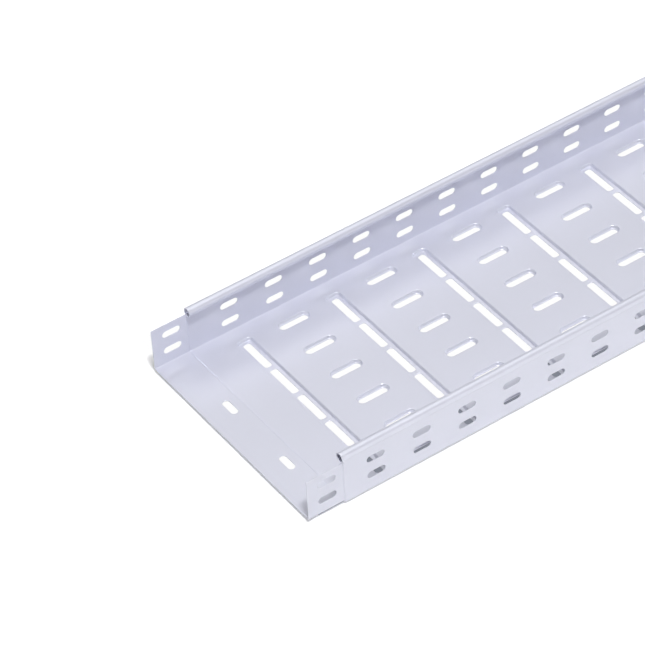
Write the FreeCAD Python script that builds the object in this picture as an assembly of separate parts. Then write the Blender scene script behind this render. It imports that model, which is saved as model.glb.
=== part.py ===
import FreeCAD, Part
import math
import os

from FreeCAD import Vector

# Perforated cable tray, pressed and rolled from one steel strip.
# +X runs along the tray, away from its coupling end, +Y to the far wall, +Z up.
# The origin is under the middle of the tray, on the plane that the pressed ribs rest on.
# All sizes are in millimetres.

# Channel
length = 2000.0
width = 250.0
side_height = 57.0
sheet = 1.0
base_bend_radius = 1.0

# Rolled lip on top of each wall
lip_diameter = 9.2
lip_turn = 300.0

# Coupling end, stepped inwards so that it fits inside the plain end of the next tray
coupling_length = 38.0
coupling_wall_height = 47.8
coupling_clearance = 0.2
step_run = 2.0
lip_notch = 0.6

# Recesses pressed down into the base
press_depth = 3.0
press_slope = 0.8

# Ribs across the base, each with a row of slots
rib_pitch = 100.0
first_rib = 86.5
rib_slot_length = 38.6
rib_slot_width = 7.8
rib_slot_corner = 2.6
rib_slot_pitch = 43.6
rib_margin = 4.0
rib_corner = 4.0
rib_row_shift = -4.3

# Lengthwise slots between the ribs, each in a recess of its own
bay_slot_offset = 52.0
bay_slot_length = 30.8
bay_slot_width = 7.8
bay_slot_pitch = 42.0
bay_margin = 1.6
bay_row_shift = -6.2

# The rows across the base sit off its middle, towards the near wall, with at least this room beside them
base_side_room = 5.5

# Slots of the side walls, in two rows, with heights above the base's upper face
side_pitch = 50.0
side_slot_length = 19.4
side_slot_width = 7.4
far_first_slot = 85.5
far_rows = (12.2, 32.6)
near_first_slot = 73.0
near_rows = (16.5, 35.4)

# Coupling slots, the same at both ends of the tray
coupling_rows = (15.9, 35.2)
coupling_side_slot = 21.0
coupling_base_slot = 25.7
coupling_base_spread = 90.7
coupling_base_shift = -7.8
coupling_base_slot_length = 20.0
coupling_base_slot_width = 7.4

# Sheet left between the last slot of each pattern and the coupling slots of the plain end
plain_end_room = 12.0

half_width = width / 2
base_under = press_depth
base_top = base_under + sheet
lip_top = base_under + side_height
step_in = sheet + coupling_clearance
coupling_top = base_under + coupling_wall_height
coupling_end = -length / 2
plain_end = length / 2
lip_start = coupling_end + coupling_length
full_section = lip_start + step_run
cutter_depth = 3 * (sheet + step_in)

# An outline's short side counts as a round end below this flat
round_end = 0.001

bend_middle = base_bend_radius + sheet / 2
roll_middle = (lip_diameter - sheet) / 2
roll_centre_height = lip_top - lip_diameter / 2

ALONG = Vector(1, 0, 0)
ACROSS = Vector(0, 1, 0)
UP = Vector(0, 0, 1)


def strip_side(point, heading, moves, offset):
    """Edges of a bent strip's one side, offset to the left of its middle line in the YZ plane."""
    edges = []
    for kind, size, turn in moves:
        left = Vector(0, -math.sin(heading), math.cos(heading))
        if kind == "flat":
            after = point + Vector(0, math.cos(heading), math.sin(heading)) * size
            edges.append(Part.makeLine(point + left * offset, after + left * offset))
        else:
            centre = point + left * size
            spokes = []
            for share in (0.0, 0.5, 1.0):
                angle = heading + math.radians(turn) * share
                spokes.append(Vector(0, math.sin(angle), -math.cos(angle)))
            places = [centre + spoke * (size - offset) for spoke in spokes]
            edges.append(Part.Arc(*places).toShape())
            heading += math.radians(turn)
            after = centre + spokes[-1] * size
        point = after
    return edges


def far_side(x, inset, moves):
    """Upper edges, lower edges and end cap of the section's far half, from the floor's end on."""
    floor_end = Vector(x, half_width - inset - sheet / 2 - bend_middle, base_under + inset + sheet / 2)
    upper = strip_side(floor_end, 0.0, moves, sheet / 2)
    lower = strip_side(floor_end, 0.0, moves, -sheet / 2)
    return upper, lower


def mirrored(shape):
    """Copy of a shape on the other side of the tray's middle plane."""
    return shape.mirror(Vector(0, 0, 0), ACROSS)


def channel_section(x, inset, moves):
    """Closed section of the whole channel at x, moved inwards by inset."""
    edges = []
    for side in far_side(x, inset, moves):
        first = side[0].Vertexes[0].Point
        other = Vector(first.x, -first.y, first.z)
        edges.append(Part.makeLine(other, first))
        edges.extend(side)
        edges.extend(mirrored(edge) for edge in side)
    upper, lower = far_side(x, inset, moves)
    cap = Part.makeLine(upper[-1].Vertexes[-1].Point, lower[-1].Vertexes[-1].Point)
    edges.append(cap)
    edges.append(mirrored(cap))
    return Part.Face(Part.Wire(Part.__sortEdges__(edges)))


def plain_moves(inset):
    """Moves of the middle line of a wall without a lip, up to the coupling wall's top."""
    wall = coupling_top - base_under - inset - sheet / 2 - bend_middle
    return [("bend", bend_middle, 90.0), ("flat", wall, 0.0)]


def lipped_moves():
    """Moves of the middle line of a wall with its rolled lip."""
    wall = roll_centre_height - base_under - sheet / 2 - bend_middle
    return [("bend", bend_middle, 90.0), ("flat", wall, 0.0), ("bend", roll_middle, lip_turn)]


def lip_overhang():
    """The far lip's first stretch, cut free above the step of the coupling end."""
    foot = Vector(lip_start, half_width - sheet / 2, coupling_top + lip_notch)
    moves = [("flat", roll_centre_height - foot.z, 0.0), ("bend", roll_middle, lip_turn)]
    left_side = strip_side(foot, math.pi / 2, moves, sheet / 2)
    right_side = strip_side(foot, math.pi / 2, moves, -sheet / 2)
    edges = left_side + right_side
    edges.append(Part.makeLine(left_side[0].Vertexes[0].Point, right_side[0].Vertexes[0].Point))
    edges.append(Part.makeLine(left_side[-1].Vertexes[-1].Point, right_side[-1].Vertexes[-1].Point))
    face = Part.Face(Part.Wire(Part.__sortEdges__(edges)))
    return face.extrude(ALONG * step_run)


def folded_channel():
    """The bent sheet, with no pressing or holes."""
    coupling = channel_section(coupling_end, step_in, plain_moves(step_in))
    step_from = channel_section(lip_start, step_in, plain_moves(step_in))
    step_to = channel_section(full_section, 0.0, plain_moves(0.0))
    step = Part.makeLoft([step_from.OuterWire, step_to.OuterWire], True, True)
    body = channel_section(full_section, 0.0, lipped_moves())
    body = body.extrude(ALONG * (plain_end - full_section))
    far_lip = lip_overhang()
    return body.multiFuse([coupling.extrude(ALONG * coupling_length), step, far_lip, mirrored(far_lip)])


def rounded_outline(centre, along, across, size, breadth, corner):
    """Closed outline, size by breadth, with round corners or, where they meet, round ends."""
    flat = size / 2 - corner
    side = breadth / 2 - corner
    reach = corner * math.sqrt(0.5)
    edges = []
    for end in (1, -1):
        long_side = centre + across * (breadth / 2 * end)
        edges.append(Part.makeLine(long_side - along * flat, long_side + along * flat))
        hub = centre + along * (flat * end)
        tip = hub + along * (corner * end)
        if side < round_end:
            edges.append(Part.Arc(hub + across * corner, tip, hub - across * corner).toShape())
            continue
        edges.append(Part.makeLine(tip - across * side, tip + across * side))
        for turn in (1, -1):
            turn_hub = hub + across * (side * turn)
            middle = turn_hub + along * (reach * end) + across * (reach * turn)
            edges.append(Part.Arc(tip + across * (side * turn), middle,
                                  turn_hub + across * (corner * turn)).toShape())
    return Part.Wire(Part.__sortEdges__(edges))


def slot_cutter(centre, along, across, size, breadth, corner):
    """Punch through the sheet at a centre on it, with its length along one direction."""
    normal = along.cross(across)
    foot = centre - normal * (cutter_depth / 2)
    outline = rounded_outline(foot, along, across, size, breadth, corner)
    return Part.Face(outline).extrude(normal * cutter_depth)


def pressed_recess(x, y, size_x, size_y, corner):
    """Pan below the base, and the pocket in it, of one recess with sloping walls."""
    solids = []
    for grown, low, high in ((sheet, 0.0, base_under + sheet / 2), (0.0, sheet, base_top)):
        outlines = []
        for height in (low, high):
            wall_lean = press_slope * (height - low) / press_depth
            growth = grown - press_slope + wall_lean
            place = Vector(x, y, height)
            outlines.append(rounded_outline(place, ALONG, ACROSS, size_x + 2 * growth,
                                            size_y + 2 * growth, corner + growth))
        solids.append(Part.makeLoft(outlines, True, True))
    return solids


def row_of_places(pitch, size, middle):
    """Places along Y of as many slots as the base has room for, evenly about the middle."""
    free = width - 2 * (abs(middle) + base_bend_radius + sheet + base_side_room) - size
    count = int(free // pitch) + 1
    return [middle + pitch * (index - (count - 1) / 2) for index in range(count)]


def places_along(first, pitch, size):
    """Places along X of a pattern's copies, from the first to the plain end's coupling slots."""
    last = plain_end - coupling_length + coupling_side_slot - side_slot_length / 2 - plain_end_room
    places = []
    x = coupling_end + first
    while x + size / 2 <= last:
        places.append(x)
        x += pitch
    return places


def base_features():
    """Pans, pockets and slot cutters of the ribs and of the slots between them."""
    pans = []
    pockets = []
    cutters = []
    rib_places = row_of_places(rib_slot_pitch, rib_slot_length + 2 * rib_margin, rib_row_shift)
    rib_width = rib_slot_width + 2 * rib_margin
    rib_length = rib_places[-1] - rib_places[0] + rib_slot_length + 2 * rib_margin
    for x in places_along(first_rib, rib_pitch, rib_width):
        pan, pocket = pressed_recess(x, rib_row_shift, rib_width, rib_length, rib_corner)
        pans.append(pan)
        pockets.append(pocket)
        for y in rib_places:
            cutters.append(slot_cutter(Vector(x, y, sheet / 2), ACROSS, ALONG, rib_slot_length,
                                       rib_slot_width, rib_slot_corner))
    bay_length = bay_slot_length + 2 * bay_margin
    bay_width = bay_slot_width + 2 * bay_margin
    bay_places = row_of_places(bay_slot_pitch, bay_width, bay_row_shift)
    for x in places_along(first_rib + bay_slot_offset, rib_pitch, bay_length):
        for y in bay_places:
            pan, pocket = pressed_recess(x, y, bay_length, bay_width, bay_width / 2)
            pans.append(pan)
            pockets.append(pocket)
            cutters.append(slot_cutter(Vector(x, y, sheet / 2), ALONG, ACROSS, bay_slot_length,
                                       bay_slot_width, bay_slot_width / 2))
    return pans, pockets, cutters


def side_cutters():
    """Cutters of the two rows of slots in each wall."""
    cutters = []
    walls = ((1, far_first_slot, far_rows), (-1, near_first_slot, near_rows))
    for side, first, rows in walls:
        for x in places_along(first, side_pitch, side_slot_length):
            for row in rows:
                place = Vector(x, side * (half_width - sheet / 2), base_top + row)
                cutters.append(slot_cutter(place, ALONG, UP, side_slot_length, side_slot_width,
                                           side_slot_width / 2))
    return cutters


def coupling_cutters():
    """Cutters of the coupling slots, which line up when one tray's end is in the next."""
    cutters = []
    plain_shift = length - coupling_length
    for x in (coupling_end + coupling_side_slot, coupling_end + coupling_side_slot + plain_shift):
        for side in (1, -1):
            for row in coupling_rows:
                place = Vector(x, side * (half_width - sheet), base_top + row)
                cutters.append(slot_cutter(place, ALONG, UP, side_slot_length, side_slot_width,
                                           side_slot_width / 2))
    for x in (coupling_end + coupling_base_slot, coupling_end + coupling_base_slot + plain_shift):
        for side in (1, -1):
            place = Vector(x, coupling_base_shift + side * coupling_base_spread / 2, base_top)
            cutters.append(slot_cutter(place, ACROSS, ALONG, coupling_base_slot_length,
                                       coupling_base_slot_width, coupling_base_slot_width / 2))
    return cutters


def cable_tray():
    """The whole tray as one solid."""
    pans, pockets, base_cutters = base_features()
    body = folded_channel().multiFuse(pans).removeSplitter()
    body = body.cut(pockets + base_cutters + side_cutters() + coupling_cutters())
    return body.Solids[0]


os.makedirs("parts", exist_ok=True)
cable_tray().exportStep("parts/cable_tray.step")
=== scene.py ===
"""Dresses the perforated cable tray: its fine sheet, its zinc finish and a plain white studio.

Lengths are in metres and angles in degrees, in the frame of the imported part: +X runs along the tray
from its coupling end, +Y to its far wall and +Z up from the plane that the pressed ribs rest on.
"""
import logging
import math
from dataclasses import dataclass, field
from enum import Enum
from typing import Callable

import bmesh
import bpy
from mathutils import Euler, Matrix, Vector


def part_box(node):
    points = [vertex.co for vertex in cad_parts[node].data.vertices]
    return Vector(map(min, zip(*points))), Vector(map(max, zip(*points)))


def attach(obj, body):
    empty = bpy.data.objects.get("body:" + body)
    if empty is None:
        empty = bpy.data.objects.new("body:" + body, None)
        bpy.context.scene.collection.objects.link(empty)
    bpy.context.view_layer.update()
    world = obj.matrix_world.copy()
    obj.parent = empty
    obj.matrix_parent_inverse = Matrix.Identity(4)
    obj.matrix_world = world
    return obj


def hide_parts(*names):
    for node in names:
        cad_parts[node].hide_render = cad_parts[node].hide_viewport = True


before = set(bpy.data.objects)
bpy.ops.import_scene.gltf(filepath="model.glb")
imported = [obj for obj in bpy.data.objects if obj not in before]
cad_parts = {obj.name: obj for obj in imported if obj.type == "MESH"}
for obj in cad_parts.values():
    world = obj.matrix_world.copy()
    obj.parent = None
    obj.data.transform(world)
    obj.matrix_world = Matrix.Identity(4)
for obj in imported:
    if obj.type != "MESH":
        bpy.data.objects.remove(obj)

LOG = logging.getLogger("cable_tray")

MM = 0.001
NODE = "cable_tray"
BODY = "root"
PIECE = "tray_sheet"

# Points are told apart by the tenth part of a micrometre.
STEPS_IN_A_METRE = 1e7
# A straight side shorter than the first, and a distance from a level below the second, count as none.
NO_SIDE = 0.01 * MM
NO_DISTANCE = 0.001 * MM

Point = tuple[float, float, float]
FlatPoint = tuple[float, float]
Colour = tuple[float, float, float]
Section = tuple[list[Point], list[Point]]
NodeInputs = dict[str | int, bpy.types.NodeSocket | float | tuple[float, ...]]

WHITE: Colour = (1.0, 1.0, 1.0)


class Side(Enum):
    """The two walls of the tray, each with the sign of its Y."""

    FAR = 1
    NEAR = -1


class Plane(Enum):
    """The axis that a flat stretch of sheet faces."""

    WALL = 1
    BASE = 2


class Direction(Enum):
    """The two directions in which a rim is repeated."""

    ALONG = 0
    ACROSS = 1


@dataclass(frozen=True)
class Corner:
    """A corner of a profile and how it is rounded, where one facet makes a chamfer."""

    growth: float
    height: float
    radius: float = 0.0
    facets: int = 1

    def point(self) -> Vector:
        """Where the corner would be sharp."""
        return Vector((self.growth, self.height))


def rounded(profile: list[Corner]) -> list[FlatPoint]:
    """Rounds the corners of a profile.

    Args:
        profile: Its corners. The first and the last only say where it comes from and goes to.

    Returns:
        The growth and height of each ring, without the first and the last corner.
    """
    rings = []
    for before, corner, after in zip(profile, profile[1:], profile[2:]):
        sharp = corner.point()
        back = (before.point() - sharp).normalized()
        ahead = (after.point() - sharp).normalized()
        half_angle = back.angle(ahead) / 2
        tangent = corner.radius / math.tan(half_angle)
        centre = sharp + (back + ahead).normalized() * (corner.radius / math.sin(half_angle))
        first = sharp + back * tangent - centre
        turn = first.angle_signed(sharp + ahead * tangent - centre)
        for step in range(corner.facets + 1):
            spoke = first.copy()
            spoke.rotate(Matrix.Rotation(-turn * step / corner.facets, 2))
            rings.append(tuple(centre + spoke))
    return rings


@dataclass(frozen=True)
class Outline:
    """A rectangle with round corners, or with round ends where the corners meet."""

    length: float
    breadth: float
    corner: float
    corner_facets: int

    def ring(self, growth: float) -> list[FlatPoint]:
        """Points of the outline grown outwards.

        Args:
            growth: How far each point moves outwards.

        Returns:
            The points, anticlockwise, the same number for every growth. At a round end, two
            corners share the point where they meet.
        """
        points = []
        straight = self.breadth / 2 - self.corner
        round_ends = straight < NO_SIDE
        reach = self.corner + growth
        for quarter, (side_x, side_y) in enumerate(((1, 1), (-1, 1), (-1, -1), (1, -1))):
            hub_x = side_x * (self.length / 2 - self.corner)
            hub_y = side_y * max(0.0, straight)
            first = 1 if round_ends and quarter == 2 else 0
            last = self.corner_facets - 1 if round_ends and quarter == 3 else self.corner_facets
            for step in range(first, last + 1):
                angle = math.radians(90) * (quarter + step / self.corner_facets)
                points.append((hub_x + reach * math.cos(angle), hub_y + reach * math.sin(angle)))
        return points


@dataclass
class SheetMesh:
    """A mesh in the making, whose faces share the vertices that lie at one place."""

    mesh: bmesh.types.BMesh = field(default_factory=bmesh.new)
    places: dict[tuple[int, ...], bmesh.types.BMVert] = field(default_factory=dict)

    def vertex(self, point: Point) -> bmesh.types.BMVert:
        """Finds the vertex at a point, or makes it where there is none yet.

        Args:
            point: The point.

        Returns:
            The vertex.
        """
        key = tuple(round(value * STEPS_IN_A_METRE) for value in point)
        if key not in self.places:
            self.places[key] = self.mesh.verts.new(point)
        return self.places[key]

    def face(self, *points: Point) -> None:
        """Adds one face through these points."""
        self.mesh.faces.new([self.vertex(point) for point in points])

    def strip(self, one: list[Point], other: list[Point], skip: frozenset[int] = frozenset()) -> None:
        """Joins two rows of as many points by quads.

        Args:
            one: Points of the first row.
            other: Points of the second row.
            skip: Spans between points that stay open.
        """
        for span in range(len(one) - 1):
            if span not in skip:
                self.face(one[span], one[span + 1], other[span + 1], other[span])

    def stretch(self, start: Section, end: Section, skip: frozenset[int] = frozenset()) -> None:
        """Joins two sections of the sheet by both of its faces and by the edges at their tips.

        Args:
            start: The two rows of points of the first section.
            end: The two rows of the second section.
            skip: Spans between points that stay open.
        """
        for one, other in zip(start, end):
            self.strip(one, other, skip)
        for tip in (0, -1):
            self.face(start[0][tip], end[0][tip], end[1][tip], start[1][tip])

    def sweep(self, outline: Outline, profile: list[Corner],
              place: Callable[[float, float, float], Point]) -> None:
        """Sweeps a profile round an outline.

        Args:
            outline: The outline to follow.
            profile: The profile's corners, which are rounded here.
            place: Turns a point of the outline and a height into a point of the mesh.
        """
        rows = []
        for growth, height in rounded(profile):
            row = [place(x, y, height) for x, y in outline.ring(growth)]
            rows.append(row + row[:1])
        for outer, inner in zip(rows, rows[1:]):
            self.strip(outer, inner)

    def fill(self, plane: Plane, level: float) -> None:
        """Closes the open loops that lie in one plane, with the holes between them left open.

        Args:
            plane: The axis that the plane faces.
            level: Where it lies on that axis.
        """
        axis = plane.value
        edges = [edge for edge in self.mesh.edges if edge.is_boundary
                 and all(abs(vertex.co[axis] - level) < NO_DISTANCE for vertex in edge.verts)]
        normal = Vector((0, 0, 0))
        normal[axis] = 1
        bmesh.ops.triangle_fill(self.mesh, use_beauty=True, edges=edges, normal=normal)

    def take(self, mesh: bpy.types.Mesh) -> None:
        """Adds a plain mesh and removes it."""
        self.mesh.from_mesh(mesh)
        bpy.data.meshes.remove(mesh)

    def close(self, name: str) -> bpy.types.Mesh:
        """Turns the faces outwards and makes the plain mesh.

        Args:
            name: The plain mesh's name.

        Returns:
            The plain mesh. A shell that isn't closed is reported.
        """
        open_edges = sum(1 for edge in self.mesh.edges if not edge.is_manifold)
        if open_edges:
            LOG.warning("%s has %d open edges", name, open_edges)
        bmesh.ops.recalc_face_normals(self.mesh, faces=self.mesh.faces)
        return self.plain(name)

    def plain(self, name: str) -> bpy.types.Mesh:
        """Makes the plain mesh as it stands.

        Args:
            name: The plain mesh's name.

        Returns:
            The plain mesh.
        """
        mesh = bpy.data.meshes.new(name)
        self.mesh.to_mesh(mesh)
        self.mesh.free()
        return mesh


@dataclass(frozen=True)
class Wiring:
    """A node tree, with the few steps that wire up its nodes."""

    tree: bpy.types.NodeTree

    def add(self, kind: str, inputs: NodeInputs | None = None) -> bpy.types.Node:
        """Adds a node.

        Args:
            kind: Its type.
            inputs: What its inputs take.

        Returns:
            The node.
        """
        node = self.tree.nodes.new(kind)
        self.feed(node, inputs or {})
        return node

    def feed(self, node: bpy.types.Node, inputs: NodeInputs) -> None:
        """Feeds a node.

        Args:
            node: The node.
            inputs: A socket to link or a value to set, for each input's name or number.
        """
        for name, value in inputs.items():
            if isinstance(value, bpy.types.NodeSocket):
                self.tree.links.new(value, node.inputs[name])
            else:
                node.inputs[name].default_value = value

    def blend(self, one: bpy.types.NodeSocket, other: bpy.types.NodeSocket,
              share: float) -> bpy.types.NodeSocket:
        """Blends two values.

        Args:
            one: The first value's socket.
            other: The second value's socket.
            share: The second value's share.

        Returns:
            The socket that gives the blend.
        """
        return self.add("ShaderNodeMix", {"Factor": share, "A": one, "B": other}).outputs["Result"]

    def reckon(self, operation: str, one: bpy.types.NodeSocket,
               other: bpy.types.NodeSocket | float) -> bpy.types.NodeSocket:
        """Works out one value from two.

        Args:
            operation: How it is worked out.
            one: The first value's socket.
            other: The second value, or its socket.

        Returns:
            The socket that gives the result.
        """
        node = self.add("ShaderNodeMath", {0: one, 1: other})
        node.operation = operation
        return node.outputs["Value"]

    def choose(self, switch: bpy.types.NodeSocket, off: bpy.types.NodeSocket,
               on: bpy.types.NodeSocket) -> bpy.types.NodeSocket:
        """Chooses between two shaders.

        Args:
            switch: The socket that gives 0 or 1.
            off: The shader that 0 shows.
            on: The shader that 1 shows.

        Returns:
            The socket that gives the chosen shader.
        """
        return self.add("ShaderNodeMixShader", {"Fac": switch, 1: off, 2: on}).outputs["Shader"]


class RepeatTree:
    """A node tree that repeats a pressed rim in rows, and makes the copies one mesh."""

    COUNTS = ("Count along", "Count across")
    STEPS = ("Step along", "Step across")

    def __init__(self) -> None:
        """Builds the tree with its named inputs."""
        self.tree = bpy.data.node_groups.new("Repeat pressed rim", "GeometryNodeTree")
        face = self.tree.interface
        face.new_socket("Rim", in_out="INPUT", socket_type="NodeSocketGeometry")
        for name in self.COUNTS:
            face.new_socket(name, in_out="INPUT", socket_type="NodeSocketInt")
        for name in self.STEPS:
            face.new_socket(name, in_out="INPUT", socket_type="NodeSocketVector")
        face.new_socket("Finish", in_out="INPUT", socket_type="NodeSocketMaterial")
        face.new_socket("Rims", in_out="OUTPUT", socket_type="NodeSocketGeometry")
        wiring = Wiring(self.tree)
        start = wiring.add("NodeGroupInput")
        row = self.copies(wiring, start.outputs["Rim"], start, Direction.ALONG)
        grid = self.copies(wiring, row, start, Direction.ACROSS)
        whole = wiring.add("GeometryNodeRealizeInstances", {"Geometry": grid})
        finished = wiring.add("GeometryNodeSetMaterial", {"Geometry": whole.outputs["Geometry"],
                                                          "Material": start.outputs["Finish"]})
        wiring.add("NodeGroupOutput", {"Rims": finished.outputs["Geometry"]})

    def copies(self, wiring: Wiring, geometry: bpy.types.NodeSocket, start: bpy.types.Node,
               direction: Direction) -> bpy.types.NodeSocket:
        """Repeats a geometry in one direction.

        Args:
            wiring: The tree's wiring.
            geometry: The socket that gives the geometry.
            start: The tree's input node.
            direction: The direction, which names the inputs for the count and the step.

        Returns:
            The socket that gives the copies.
        """
        line = wiring.add("GeometryNodeMeshLine", {"Count": start.outputs[self.COUNTS[direction.value]],
                                                   "Offset": start.outputs[self.STEPS[direction.value]]})
        spread = wiring.add("GeometryNodeInstanceOnPoints", {"Points": line.outputs["Mesh"],
                                                             "Instance": geometry})
        return spread.outputs["Instances"]

    def repeat(self, rim: bpy.types.Mesh, counts: tuple[int, int], steps: tuple[Point, Point],
               finish: bpy.types.Material) -> bpy.types.Mesh:
        """Repeats one rim.

        Args:
            rim: The mesh of the first rim, at its place.
            counts: How many along and across.
            steps: The step along and the step across.
            finish: The material of the copies.

        Returns:
            One plain mesh of all the copies.
        """
        carrier = bpy.data.objects.new(rim.name, rim)
        bpy.context.scene.collection.objects.link(carrier)
        modifier = carrier.modifiers.new("Repeat", "NODES")
        modifier.node_group = self.tree
        values = dict(zip(self.COUNTS + self.STEPS, counts + steps))
        values["Finish"] = finish
        for item in self.tree.interface.items_tree:
            if item.in_out == "INPUT" and item.name in values:
                modifier[item.identifier] = values[item.name]
        made = bpy.data.meshes.new_from_object(
            carrier.evaluated_get(bpy.context.evaluated_depsgraph_get()))
        carrier.modifiers.remove(modifier)
        bpy.data.objects.remove(carrier)
        bpy.data.meshes.remove(rim)
        return made


@dataclass
class Channel:
    """The folded strip: its base, bends, walls and rolled lips, without pressings or slots."""

    low: Vector
    high: Vector
    sheet: float = 1.0 * MM
    press_depth: float = 3.0 * MM
    bend_radius: float = 1.0 * MM
    bend_facets: int = 4
    lip_radius: float = 4.6 * MM
    lip_turn: float = 300.0
    lip_facets: int = 24
    lip_notch: float = 0.6 * MM
    bead_top: float = 55.1 * MM
    bead_breadth: float = 1.6 * MM
    bead_depth: float = 0.5 * MM
    coupling_length: float = 38.0 * MM
    coupling_wall_height: float = 47.8 * MM
    coupling_clearance: float = 0.2 * MM
    step_run: float = 2.0 * MM
    crease_depth: float = 0.75 * MM
    crease_width: float = 1.0 * MM

    def __post_init__(self) -> None:
        """Works out the places that follow from the sizes."""
        self.half_width = (self.high.y - self.low.y) / 2
        self.step_in = self.sheet + self.coupling_clearance
        self.base_under = self.press_depth
        self.base_top = self.base_under + self.sheet
        self.coupling_top = self.base_under + self.coupling_wall_height
        self.lip_start = self.low.x + self.coupling_length
        self.full_section = self.lip_start + self.step_run
        self.lip_height = self.high.z - self.lip_radius

    def bend(self, inset: float, offset: float) -> list[FlatPoint]:
        """Points of the far bend, from the base's end on.

        Args:
            inset: How far the section stands inwards and upwards.
            offset: How far the points lie outside the channel's inner face.

        Returns:
            The Y and Z of each point.
        """
        centre_y = self.half_width - inset - self.sheet - self.bend_radius
        centre_z = self.base_top + inset + self.bend_radius
        reach = self.bend_radius + offset
        points = []
        for step in range(self.bend_facets + 1):
            angle = math.radians(-90 + 90 * step / self.bend_facets)
            points.append((centre_y + reach * math.cos(angle), centre_z + reach * math.sin(angle)))
        return points

    def bead(self, offset: float) -> list[FlatPoint]:
        """Points of the far wall at an offset inside its outer face, where its bead runs below the lip.

        Args:
            offset: Zero for the outer face, which alone has the bead.

        Returns:
            The Y and Z of each point, upwards.
        """
        flat = self.half_width - offset
        ridge = flat + self.bead_depth if offset == 0.0 else flat
        return [(flat, self.bead_top - self.bead_breadth), (ridge, self.bead_top - self.bead_breadth / 2),
                (flat, self.bead_top)]

    def lip(self, offset: float) -> list[FlatPoint]:
        """Points of the far lip, with the wall's bead below its roll.

        Args:
            offset: Zero for the outer face, the sheet's thickness for the inner one.

        Returns:
            The Y and Z of each point, from the wall on.
        """
        centre_y = self.half_width - self.lip_radius
        reach = self.lip_radius - offset
        points = self.bead(offset)
        for step in range(self.lip_facets + 1):
            angle = math.radians(self.lip_turn * step / self.lip_facets)
            points.append((centre_y + reach * math.cos(angle), self.lip_height + reach * math.sin(angle)))
        return points

    def across(self, x: float, half: list[FlatPoint]) -> list[Point]:
        """The whole row of points at x whose far half is given."""
        near = [(x, -y, z) for y, z in reversed(half)]
        return near + [(x, y, z) for y, z in half]

    def plain_row(self, x: float, inset: float, offset: float) -> list[Point]:
        """One row of the section without lips.

        Args:
            x: Where the section lies.
            inset: How far it stands inwards and upwards.
            offset: Zero for its inner face, the sheet's thickness for the outer one.

        Returns:
            The points, from the near wall to the far one.
        """
        half = self.bend(inset, offset)
        half.append((half[-1][0], self.coupling_top))
        return self.across(x, half)

    def lipped_section(self, x: float) -> Section:
        """The section with its rolled lips.

        Args:
            x: Where the section lies.

        Returns:
            Its inner and its outer row.
        """
        inner = self.bend(0.0, 0.0) + self.lip(self.sheet)
        outer = self.bend(0.0, self.sheet) + self.lip(0.0)
        return self.across(x, inner), self.across(x, outer)

    def flat_spans(self, section: Section, above: int) -> frozenset[int]:
        """The spans of a section that hold slots: the base's and both walls'.

        Args:
            section: The section.
            above: How many points each side has above its flat wall.

        Returns:
            The number of each of these spans.
        """
        last = len(section[0]) - 2
        return frozenset({last // 2, above - 1, last - above + 1})

    def build(self, sheet: SheetMesh) -> None:
        """Adds the folded strip, with its flat stretches left open.

        Args:
            sheet: The mesh to add to.
        """
        self.coupling(sheet)
        self.body(sheet)
        for side in Side:
            self.lip_overhang(sheet, side)

    def coupling(self, sheet: SheetMesh) -> None:
        """Adds the stepped coupling end and the step, with the crease at its foot.

        Args:
            sheet: The mesh to add to.
        """
        mouth, step = [(self.plain_row(x, self.step_in, 0.0), self.plain_row(x, self.step_in, self.sheet))
                       for x in (self.low.x, self.lip_start)]
        crease_start = self.full_section - self.crease_width
        crease = (self.plain_row(crease_start, -self.crease_depth, 0.0),
                  self.plain_row(crease_start, 0.0, self.sheet))
        full = (self.plain_row(self.full_section, 0.0, 0.0),
                self.plain_row(self.full_section, 0.0, self.sheet))
        sheet.strip(*mouth)
        sheet.stretch(mouth, step, self.flat_spans(mouth, 1))
        sheet.stretch(step, crease)
        sheet.stretch(crease, full)

    def body(self, sheet: SheetMesh) -> None:
        """Adds the stretch with the rolled lips, from the step to the plain end.

        Args:
            sheet: The mesh to add to.
        """
        start = self.lipped_section(self.full_section)
        end = self.lipped_section(self.high.x)
        sheet.stretch(start, end, self.flat_spans(start, len(self.lip(0.0))))
        sheet.strip(*end)

    def lip_overhang(self, sheet: SheetMesh, side: Side) -> None:
        """Adds one lip's first stretch, cut free above the step, and the notch below it.

        Args:
            sheet: The mesh to add to.
            side: The wall that carries the lip.
        """
        faces = ((self.half_width - self.sheet, self.sheet), (self.half_width, 0.0))

        def section(x: float) -> Section:
            """The lip's section at x, from the notch on."""
            rows = []
            for wall_y, offset in faces:
                half = [(wall_y, self.coupling_top + self.lip_notch)] + self.lip(offset)
                rows.append([(x, side.value * y, z) for y, z in half])
            return rows[0], rows[1]

        start = section(self.lip_start)
        end = section(self.full_section)
        sheet.stretch(start, end)
        sheet.strip(*start)
        notch = [(self.full_section, side.value * wall_y, self.coupling_top) for wall_y, _ in faces]
        sheet.face(notch[0], notch[1], end[1][0], end[0][0])

    def fill(self, sheet: SheetMesh) -> None:
        """Fills the flat stretches round the slots.

        Args:
            sheet: The mesh, with all its rims.
        """
        for inset in (0.0, self.step_in):
            for level in (self.base_under + inset, self.base_top + inset):
                sheet.fill(Plane.BASE, level)
            for side in Side:
                for distance in (self.half_width - inset, self.half_width - inset - self.sheet):
                    sheet.fill(Plane.WALL, side.value * distance)


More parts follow.
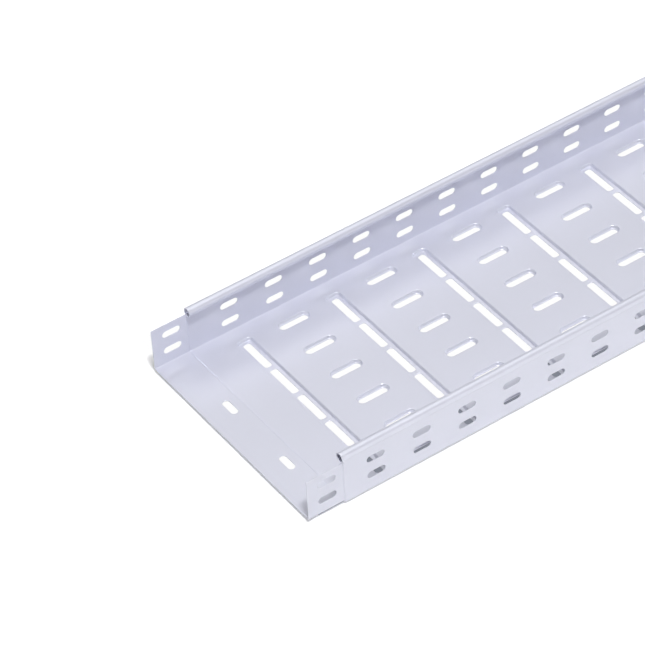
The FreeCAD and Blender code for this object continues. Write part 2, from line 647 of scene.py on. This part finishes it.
@dataclass
class Punching:
    """What every row of slots shares: the channel, where rows end, and the tools that make them."""

    channel: Channel
    tree: RepeatTree
    finish: bpy.types.Material
    side_slot: Outline = Outline(19.4 * MM, 7.4 * MM, 3.7 * MM, 5)
    side_coupling_place: float = 21.0 * MM
    plain_end_room: float = 12.0 * MM
    cut_edge: float = 0.18 * MM

    def count_along(self, first: float, pitch: float, size: float) -> int:
        """How many copies fit before the plain end's coupling slots.

        Args:
            first: Distance of the first copy from the coupling end.
            pitch: Distance between copies.
            size: Length of one copy.

        Returns:
            The number of copies.
        """
        channel = self.channel
        last = channel.high.x - channel.coupling_length + self.side_coupling_place
        last -= self.side_slot.length / 2 + self.plain_end_room + size / 2
        return int((last - channel.low.x - first) // pitch) + 1

    def cut(self) -> list[Corner]:
        """Corners of a slot's cut edge through the sheet, with the burr taken off.

        Returns:
            The corners, downwards, the first and the last on the flat sheet.
        """
        thickness = self.channel.sheet
        edge = self.cut_edge
        return [Corner(2 * edge, thickness), Corner(0.0, thickness, edge), Corner(0.0, 0.0, edge),
                Corner(2 * edge, 0.0)]


@dataclass
class PressedBase:
    """The base's pressed ribs with their slots, the slots between them and the coupling slots."""

    punching: Punching
    press_lean: float = 0.8 * MM
    rib_pitch: float = 100.0 * MM
    first_rib: float = 86.5 * MM
    rib_slots: int = 5
    rib_slot: Outline = Outline(38.6 * MM, 7.8 * MM, 2.6 * MM, 4)
    rib_slot_pitch: float = 43.6 * MM
    rib_margin: float = 4.0 * MM
    rib_corner: float = 4.0 * MM
    rib_corner_facets: int = 5
    rib_shift: float = -4.3 * MM
    bay_offset: float = 52.0 * MM
    bay_rows: int = 6
    bay_slot: Outline = Outline(30.8 * MM, 7.8 * MM, 3.9 * MM, 5)
    bay_pitch: float = 42.0 * MM
    bay_margin: float = 1.6 * MM
    bay_shift: float = -6.2 * MM
    coupling_slot: Outline = Outline(20.0 * MM, 7.4 * MM, 3.7 * MM, 5)
    coupling_place: float = 25.7 * MM
    coupling_spread: float = 90.7 * MM
    coupling_shift: float = -7.8 * MM
    upper_edge: float = 0.9 * MM
    upper_foot: float = 0.45 * MM
    lower_edge: float = 1.0 * MM
    lower_foot: float = 0.4 * MM
    edge_facets: int = 3
    foot_facets: int = 2

    def upper_press(self, rim: float) -> list[Corner]:
        """Corners of a recess's upper face, from outside it to its floor.

        Args:
            rim: Growth of the recess's upper edge.

        Returns:
            The corners, the first and the last on the flat sheet.
        """
        channel = self.punching.channel
        foot = rim - self.press_lean
        return [Corner(rim + self.upper_edge, channel.base_top),
                Corner(rim, channel.base_top, self.upper_edge, self.edge_facets),
                Corner(foot, channel.sheet, self.upper_foot, self.foot_facets),
                Corner(foot - self.upper_foot, channel.sheet)]

    def lower_press(self, rim: float) -> list[Corner]:
        """Corners of a recess's underside, from its floor to outside it.

        Args:
            rim: Growth of the recess's upper edge.

        Returns:
            The corners, the first and the last on the flat sheet.
        """
        channel = self.punching.channel
        outer = rim + channel.sheet
        edge = outer - self.press_lean
        return [Corner(edge - self.lower_edge, 0.0),
                Corner(edge, 0.0, self.lower_edge, self.edge_facets),
                Corner(outer, channel.base_under, self.lower_foot, self.foot_facets),
                Corner(outer + self.lower_foot, channel.base_under)]

    def build(self, sheet: SheetMesh) -> None:
        """Adds all rims of the base.

        Args:
            sheet: The mesh to add to.
        """
        self.add_ribs(sheet)
        self.add_bays(sheet)
        self.add_coupling_slots(sheet)

    def add_ribs(self, sheet: SheetMesh) -> None:
        """Adds the pressed ribs.

        Args:
            sheet: The mesh to add to.
        """
        punching = self.punching
        breadth = self.rib_slot.breadth + 2 * self.rib_margin
        count = punching.count_along(self.first_rib, self.rib_pitch, breadth)
        rim = self.rib_rim(punching.channel.low.x + self.first_rib)
        steps = ((self.rib_pitch, 0, 0), (0, 0, 0))
        sheet.take(punching.tree.repeat(rim, (count, 1), steps, punching.finish))
        LOG.info("base: %d pressed ribs", count)

    def add_bays(self, sheet: SheetMesh) -> None:
        """Adds the slots between the ribs.

        Args:
            sheet: The mesh to add to.
        """
        punching = self.punching
        first = self.first_rib + self.bay_offset
        count = punching.count_along(first, self.rib_pitch, self.bay_slot.length + 2 * self.bay_margin)
        rim = self.bay_rim(punching.channel.low.x + first)
        steps = ((self.rib_pitch, 0, 0), (0, self.bay_pitch, 0))
        sheet.take(punching.tree.repeat(rim, (count, self.bay_rows), steps, punching.finish))
        LOG.info("base: %d slots between the ribs", count * self.bay_rows)

    def add_coupling_slots(self, sheet: SheetMesh) -> None:
        """Adds the two coupling slots of each end.

        Args:
            sheet: The mesh to add to.
        """
        punching = self.punching
        channel = punching.channel
        steps = ((0, 0, 0), (0, self.coupling_spread, 0))
        for start, under in ((channel.low.x, channel.base_under + channel.step_in),
                             (channel.high.x - channel.coupling_length, channel.base_under)):
            rim = self.coupling_rim(start + self.coupling_place, under)
            sheet.take(punching.tree.repeat(rim, (1, 2), steps, punching.finish))

    def rib_rim(self, x: float) -> bpy.types.Mesh:
        """One pressed rib with its row of slots.

        Args:
            x: Where the rib's middle lies.

        Returns:
            The plain mesh, open where it meets the flat base.
        """
        rim = SheetMesh()
        run = (self.rib_slots - 1) * self.rib_slot_pitch + self.rib_slot.length
        recess = Outline(run + 2 * self.rib_margin, self.rib_slot.breadth + 2 * self.rib_margin,
                         self.rib_corner, self.rib_corner_facets)

        def place_recess(along: float, across: float, height: float) -> Point:
            """Lays the rib's length across the tray."""
            return x - across, self.rib_shift + along, height

        rim.sweep(recess, self.upper_press(0.0), place_recess)
        rim.sweep(recess, self.lower_press(0.0), place_recess)
        for slot in range(self.rib_slots):
            middle = (slot - (self.rib_slots - 1) / 2) * self.rib_slot_pitch
            rim.sweep(self.rib_slot, self.punching.cut(),
                      lambda along, across, height: place_recess(along + middle, across, height))
        rim.fill(Plane.BASE, self.punching.channel.sheet)
        rim.fill(Plane.BASE, 0.0)
        return rim.plain("pressed_rib")

    def bay_rim(self, x: float) -> bpy.types.Mesh:
        """The first slot of the rows between the ribs, in its own recess.

        Args:
            x: Where the slot's middle lies.

        Returns:
            The plain mesh, open where it meets the flat base.
        """
        rim = SheetMesh()
        y = self.bay_shift - (self.bay_rows - 1) / 2 * self.bay_pitch
        profile = self.upper_press(self.bay_margin)[:-1]
        profile += self.punching.cut()[1:-1]
        profile += self.lower_press(self.bay_margin)[1:]
        rim.sweep(self.bay_slot, profile, lambda along, across, height: (x + along, y + across, height))
        return rim.plain("bay_slot")

    def coupling_rim(self, x: float, under: float) -> bpy.types.Mesh:
        """The first coupling slot of one end.

        Args:
            x: Where the slot's middle lies.
            under: Height of the sheet's underside there.

        Returns:
            The plain mesh, open where it meets the flat base.
        """
        rim = SheetMesh()
        y = self.coupling_shift - self.coupling_spread / 2
        rim.sweep(self.coupling_slot, self.punching.cut(),
                  lambda along, across, height: (x - across, y + along, under + height))
        return rim.plain("coupling_slot")


@dataclass
class SideWall:
    """The two rows of slots of one wall, and its coupling slots at both ends."""

    punching: Punching
    side: Side
    first_slot: float
    rows: tuple[float, float]
    pitch: float = 50.0 * MM
    coupling_rows: tuple[float, float] = (15.9 * MM, 35.2 * MM)

    def build(self, sheet: SheetMesh) -> None:
        """Adds all rims of the wall.

        Args:
            sheet: The mesh to add to.
        """
        punching = self.punching
        channel = punching.channel
        count = punching.count_along(self.first_slot, self.pitch, punching.side_slot.length)
        plain_end = channel.high.x - channel.coupling_length
        self.add_rows(sheet, channel.low.x + self.first_slot, 0.0, self.rows, count)
        self.add_rows(sheet, channel.low.x + punching.side_coupling_place, channel.step_in,
                      self.coupling_rows, 1)
        self.add_rows(sheet, plain_end + punching.side_coupling_place, 0.0, self.coupling_rows, 1)
        LOG.info("%s wall: %d slots in each row", self.side.name.lower(), count)

    def add_rows(self, sheet: SheetMesh, x: float, inset: float, rows: tuple[float, float],
                 count: int) -> None:
        """Adds two rows of slots.

        Args:
            sheet: The mesh to add to.
            x: Where the first slot's middle lies.
            inset: How far the wall stands inwards there.
            rows: Heights of the rows above the base's upper face.
            count: How many slots a row has.
        """
        punching = self.punching
        channel = punching.channel
        outer = channel.half_width - inset
        far_face = outer if self.side is Side.FAR else channel.sheet - outer

        def place(along: float, up: float, depth: float) -> Point:
            """Stands the slot up in the wall."""
            return x + along, far_face - depth, channel.base_top + rows[0] + up

        rim = SheetMesh()
        rim.sweep(punching.side_slot, punching.cut(), place)
        steps = ((self.pitch, 0, 0), (0, 0, rows[1] - rows[0]))
        sheet.take(punching.tree.repeat(rim.plain("wall_slot"), (count, 2), steps, punching.finish))


@dataclass(frozen=True)
class ZincFinish:
    """Smooth satin zinc on sheet steel, with its faint spangle, rolling marks and clouds."""

    colour: Colour = (0.73, 0.74, 0.838)
    tone_change: float = 0.025
    metallic: float = 0.4
    roughness: float = 0.36
    roughness_change: float = 0.05
    cloud_size: float = 90.0 * MM
    cloud_detail: float = 2.0
    spangle_size: float = 4.0 * MM
    spangle_detail: float = 3.0
    rolling_mark: tuple[float, float] = (60.0 * MM, 1.2 * MM)
    rolling_mark_detail: float = 2.0
    spangle_in_tone: float = 0.4
    marks_in_roughness: float = 0.5
    spangle_in_bump: float = 0.5
    bump_height: float = 0.012 * MM
    bump_strength: float = 0.5

    def material(self) -> bpy.types.Material:
        """Builds the material.

        Returns:
            The material of the whole tray.
        """
        made = bpy.data.materials.new("Zinc coated steel")
        made.use_nodes = True
        wiring = Wiring(made.node_tree)
        length, breadth = self.rolling_mark
        clouds = self.noise(wiring, (self.cloud_size,) * 3, self.cloud_detail)
        spangle = self.noise(wiring, (self.spangle_size,) * 3, self.spangle_detail)
        marks = self.noise(wiring, (length, breadth, breadth), self.rolling_mark_detail)
        colour = wiring.add("ShaderNodeMix")
        colour.data_type = "RGBA"
        wiring.feed(colour, {"Factor": wiring.blend(clouds, spangle, self.spangle_in_tone),
                             "A": self.tone(1 - self.tone_change), "B": self.tone(1 + self.tone_change)})
        roughness = wiring.add("ShaderNodeMapRange", {
            "Value": wiring.blend(spangle, marks, self.marks_in_roughness),
            "To Min": self.roughness - self.roughness_change,
            "To Max": self.roughness + self.roughness_change})
        bump = wiring.add("ShaderNodeBump", {"Strength": self.bump_strength, "Distance": self.bump_height,
                                             "Height": wiring.blend(marks, spangle, self.spangle_in_bump)})
        wiring.feed(made.node_tree.nodes["Principled BSDF"], {
            "Base Color": colour.outputs["Result"], "Metallic": self.metallic,
            "Roughness": roughness.outputs["Result"], "Normal": bump.outputs["Normal"]})
        return made

    def tone(self, share: float) -> tuple[float, ...]:
        """The colour made lighter or darker, with its alpha."""
        return (*(value * share for value in self.colour), 1.0)

    def noise(self, wiring: Wiring, size: Point, detail: float) -> bpy.types.NodeSocket:
        """Adds a noise that stays put on the object.

        Args:
            wiring: The material's wiring.
            size: Size of the noise's features along each axis.
            detail: How much finer detail it has.

        Returns:
            The socket that gives the noise's value, from 0 to 1.
        """
        place = wiring.add("ShaderNodeTexCoord").outputs["Object"]
        scaled = wiring.add("ShaderNodeMapping", {"Vector": place,
                                                  "Scale": tuple(1 / value for value in size)})
        return wiring.add("ShaderNodeTexNoise", {"Vector": scaled.outputs["Vector"], "Scale": 1.0,
                                                 "Detail": detail}).outputs["Fac"]


@dataclass
class Tray:
    """The whole tray: one folded, pressed and punched sheet."""

    channel: Channel
    base: PressedBase
    walls: tuple[SideWall, SideWall]
    finish: bpy.types.Material
    sharp_angle: float = 50.0

    def build(self) -> bpy.types.Object:
        """Makes the tray's piece.

        Returns:
            The piece's object.
        """
        sheet = SheetMesh()
        self.channel.build(sheet)
        self.base.build(sheet)
        for wall in self.walls:
            wall.build(sheet)
        self.channel.fill(sheet)
        mesh = sheet.close(PIECE)
        mesh.materials.clear()
        mesh.materials.append(self.finish)
        return self.shaded(mesh)

    def shaded(self, mesh: bpy.types.Mesh) -> bpy.types.Object:
        """Smooths the shading over the bends and keeps it flat on the flat stretches.

        Args:
            mesh: The tray's mesh, which is replaced.

        Returns:
            The object, with a plain mesh of its own.
        """
        mesh.shade_smooth()
        mesh.set_sharp_from_angle(angle=math.radians(self.sharp_angle))
        carrier = bpy.data.objects.new(PIECE, mesh)
        bpy.context.scene.collection.objects.link(carrier)
        weighted = carrier.modifiers.new("Even shading", "WEIGHTED_NORMAL")
        weighted.keep_sharp = True
        even = bpy.data.meshes.new_from_object(
            carrier.evaluated_get(bpy.context.evaluated_depsgraph_get()))
        carrier.modifiers.remove(weighted)
        carrier.data = even
        bpy.data.meshes.remove(mesh)
        even.name = PIECE
        return carrier


@dataclass(frozen=True)
class SoftLamp:
    """A distant soft lamp.

    Its azimuth is its turn from the near side towards the coupling end, its elevation its height
    above the floor, and its spread how wide it looks.
    """

    name: str
    azimuth: float
    elevation: float
    spread: float
    strength: float

    def build(self) -> None:
        """Adds the lamp to the scene."""
        data = bpy.data.lights.new(self.name, "SUN")
        data.angle = math.radians(self.spread)
        data.energy = self.strength
        lamp = bpy.data.objects.new(self.name, data)
        lamp.rotation_euler = (math.radians(90 - self.elevation), 0, math.radians(-self.azimuth))
        bpy.context.scene.collection.objects.link(lamp)


@dataclass(frozen=True)
class Studio:
    """A pale floor, a white backdrop, soft lamps in front, behind and at the plain end, and the camera.

    Two cards lie under the tray: a white one, and below the near wall a dark one of painted shade, which
    shows through the near wall's slots. The backdrop's top is its height above the floor as an angle.
    """

    floor_size: float = 12.0
    floor_drop: float = 0.05 * MM
    floor_white: float = 0.95
    floor_roughness: float = 0.9
    floor_glow: float = 0.2
    card_inset: float = 12.0 * MM
    white_card_near_edge: float = -73.0 * MM
    white_card_reach_behind: float = 45.0 * MM
    # Painted shade: the dark card below the near wall stands in for the shadow there, seen through its
    # slots.
    painted_shade_card_near_edge: float = -120.0 * MM
    painted_shade_colour: Colour = (0.22, 0.235, 0.28)
    sky_strength: float = 0.03
    backdrop_top: float = 20.0
    lamps: tuple[SoftLamp, ...] = (SoftLamp("key_lamp", 12.0, 65.0, 10.0, 1.95),
                                   SoftLamp("steep_lamp", 0.0, 72.0, 12.0, 0.6),
                                   SoftLamp("low_front_lamp", 0.0, 4.0, 24.0, 0.45),
                                   SoftLamp("behind_lamp", -148.0, 65.0, 50.0, 0.62),
                                   SoftLamp("right_lamp", -90.0, 45.0, 60.0, 0.25))
    camera_place: Point = (-2.17442, -2.02225, 2.25711)
    camera_azimuth: float = 32.364
    camera_elevation: float = 42.158
    camera_roll: float = -4.151
    camera_reach: float = 50.0
    lens: float = 201.99

    def build(self, channel: Channel) -> None:
        """Builds the whole studio round the tray.

        Args:
            channel: The tray's channel, which gives its footprint.
        """
        bpy.context.scene.view_settings.view_transform = "Standard"
        self.camera()
        self.sky()
        for lamp in self.lamps:
            lamp.build()
        reach = self.floor_size / 2
        self.lay("floor", (-reach, -reach), (reach, reach), -self.floor_drop, self.floor_material())
        left = channel.low.x + self.card_inset
        right = channel.high.x - self.card_inset
        behind = channel.high.y + self.white_card_reach_behind
        self.card("white_card", (left, self.white_card_near_edge), (right, behind), WHITE)
        # The dark card is painted shade, which only the camera sees through the near wall's slots.
        self.card("shade_card", (left, self.painted_shade_card_near_edge), (right, self.white_card_near_edge),
                  self.painted_shade_colour)

    def camera(self) -> None:
        """Sets the camera at the photograph's place."""
        data = bpy.data.cameras.new("camera")
        data.lens = self.lens
        data.clip_end = self.camera_reach
        camera = bpy.data.objects.new("camera", data)
        level = Euler((math.radians(90 - self.camera_elevation), 0, math.radians(-self.camera_azimuth)))
        turn = level.to_matrix() @ Matrix.Rotation(math.radians(self.camera_roll), 3, "Z")
        camera.location = self.camera_place
        camera.rotation_euler = turn.to_euler()
        bpy.context.scene.collection.objects.link(camera)
        bpy.context.scene.camera = camera

    def sky(self) -> None:
        """Lights the object faintly, and shows a white backdrop behind it and low in its reflections."""
        world = bpy.data.worlds.new("sky")
        world.use_nodes = True
        bpy.context.scene.world = world
        wiring = Wiring(world.node_tree)
        faint = world.node_tree.nodes["Background"]
        wiring.feed(faint, {"Color": (*WHITE, 1.0), "Strength": self.sky_strength})
        white = wiring.add("ShaderNodeBackground", {"Color": (*WHITE, 1.0)})
        path = wiring.add("ShaderNodeLightPath")
        towards = wiring.add("ShaderNodeTexCoord").outputs["Generated"]
        height = wiring.add("ShaderNodeSeparateXYZ", {"Vector": towards}).outputs["Z"]
        below_top = wiring.reckon("LESS_THAN", height, math.sin(math.radians(self.backdrop_top)))
        mirrored = wiring.reckon("MULTIPLY", path.outputs["Is Glossy Ray"], below_top)
        seen = wiring.reckon("MAXIMUM", path.outputs["Is Camera Ray"], mirrored)
        backdrop = wiring.choose(seen, faint.outputs["Background"], white.outputs["Background"])
        wiring.feed(world.node_tree.nodes["World Output"], {"Surface": backdrop})

    def card(self, name: str, low: FlatPoint, high: FlatPoint, colour: Colour) -> None:
        """Lays a card on the floor that only the camera sees, through the slots.

        Args:
            name: Its name.
            low: Its lowest corner.
            high: Its highest corner.
            colour: Its colour.
        """
        card = self.lay(name, low, high, -self.floor_drop / 2, self.card_material(colour))
        card.visible_diffuse = False
        card.visible_glossy = False
        card.visible_shadow = False

    def lay(self, name: str, low: FlatPoint, high: FlatPoint, level: float,
            material: bpy.types.Material) -> bpy.types.Object:
        """Lays a flat sheet on the ground, which isn't part of the object.

        Args:
            name: Its name.
            low: Its lowest corner.
            high: Its highest corner.
            level: Its height.
            material: Its material.

        Returns:
            The sheet's object.
        """
        mesh = bpy.data.meshes.new(name)
        outline = [(low[0], low[1], level), (high[0], low[1], level), (high[0], high[1], level),
                   (low[0], high[1], level)]
        mesh.from_pydata(outline, [], [(0, 1, 2, 3)])
        mesh.materials.append(material)
        sheet = bpy.data.objects.new(name, mesh)
        bpy.context.scene.collection.objects.link(sheet)
        return sheet

    def floor_material(self) -> bpy.types.Material:
        """A pale floor, which keeps the tray's shadow.

        Returns:
            The material. It glows faintly to the camera, and reflections show it plain white.
        """
        material = bpy.data.materials.new("White floor")
        material.use_nodes = True
        wiring = Wiring(material.node_tree)
        floor = material.node_tree.nodes["Principled BSDF"]
        wiring.feed(floor, {"Base Color": (*(self.floor_white,) * 3, 1.0),
                            "Roughness": self.floor_roughness})
        glow = wiring.add("ShaderNodeEmission", {"Strength": self.floor_glow})
        bright = wiring.add("ShaderNodeAddShader", {0: floor.outputs["BSDF"], 1: glow.outputs["Emission"]})
        white = wiring.add("ShaderNodeEmission")
        path = wiring.add("ShaderNodeLightPath")
        seen = wiring.choose(path.outputs["Is Camera Ray"], floor.outputs["BSDF"], bright.outputs["Shader"])
        whole = wiring.choose(path.outputs["Is Glossy Ray"], seen, white.outputs["Emission"])
        wiring.feed(material.node_tree.nodes["Material Output"], {"Surface": whole})
        return material

    def card_material(self, colour: Colour) -> bpy.types.Material:
        """A plain colour, for a card that shows through the slots.

        Args:
            colour: The colour.

        Returns:
            The material, which needs no light.
        """
        material = bpy.data.materials.new("Card")
        material.use_nodes = True
        wiring = Wiring(material.node_tree)
        plain = wiring.add("ShaderNodeEmission", {"Color": (*colour, 1.0)})
        wiring.feed(material.node_tree.nodes["Material Output"], {"Surface": plain.outputs["Emission"]})
        return material


def main() -> None:
    """Builds the tray and the studio."""
    logging.basicConfig(level=logging.INFO, format="%(name)s: %(message)s")
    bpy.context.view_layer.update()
    finish = ZincFinish().material()
    channel = Channel(*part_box(NODE))
    punching = Punching(channel, RepeatTree(), finish)
    walls = (SideWall(punching, Side.FAR, first_slot=85.5 * MM, rows=(12.2 * MM, 32.6 * MM)),
             SideWall(punching, Side.NEAR, first_slot=73.0 * MM, rows=(16.5 * MM, 35.4 * MM)))
    tray = Tray(channel, PressedBase(punching), walls, finish).build()
    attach(tray, BODY)
    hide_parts(NODE)
    tray.data.calc_loop_triangles()
    LOG.info("tray sheet: %d triangles", len(tray.data.loop_triangles))
    Studio().build(channel)


if __name__ == "__main__":
    main()
